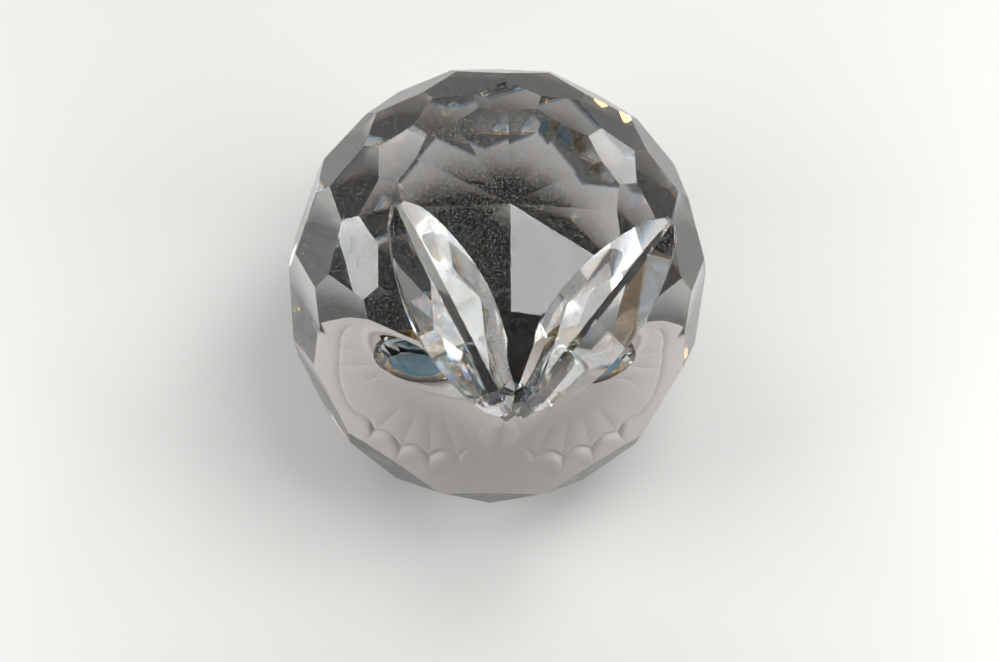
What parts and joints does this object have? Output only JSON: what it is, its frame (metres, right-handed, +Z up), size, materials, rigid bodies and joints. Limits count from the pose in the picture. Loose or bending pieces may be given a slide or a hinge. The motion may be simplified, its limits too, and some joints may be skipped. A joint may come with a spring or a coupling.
{
  "type": "crystal owl figurine",
  "caption": "Standing owl of solid cut crystal with a frosted heart-shaped face, inset eye stones and pointed crystal ear tufts.",
  "frame": {"origin": "middle of the flat base facet, under the axis of the faceted body", "axes": "+Z up out of the crown, -Y the way the owl faces, +X to the right of someone facing the owl"},
  "size_m": [0.1338, 0.1303, 0.1737],
  "materials": {
    "crystal": "polished cut facets, with the carved face ground to a frosted finish",
    "eye_crystal": "polished brilliant cut",
    "iris_foil": "teal mirror foil",
    "tuft_crystal": "polished marquise cut",
    "clear_glue": "clear cured adhesive with small bubbles"
  },
  "bodies": {
    "root": {"crystal_body": "crystal", "left_eye_crystal": "eye_crystal", "right_eye_crystal": "eye_crystal", "left_iris_foil": "iris_foil", "right_iris_foil": "iris_foil", "left_ear_tuft": "tuft_crystal", "right_ear_tuft": "tuft_crystal", "left_tuft_glue": "clear_glue", "right_tuft_glue": "clear_glue"}
  },
  "joints": []
}
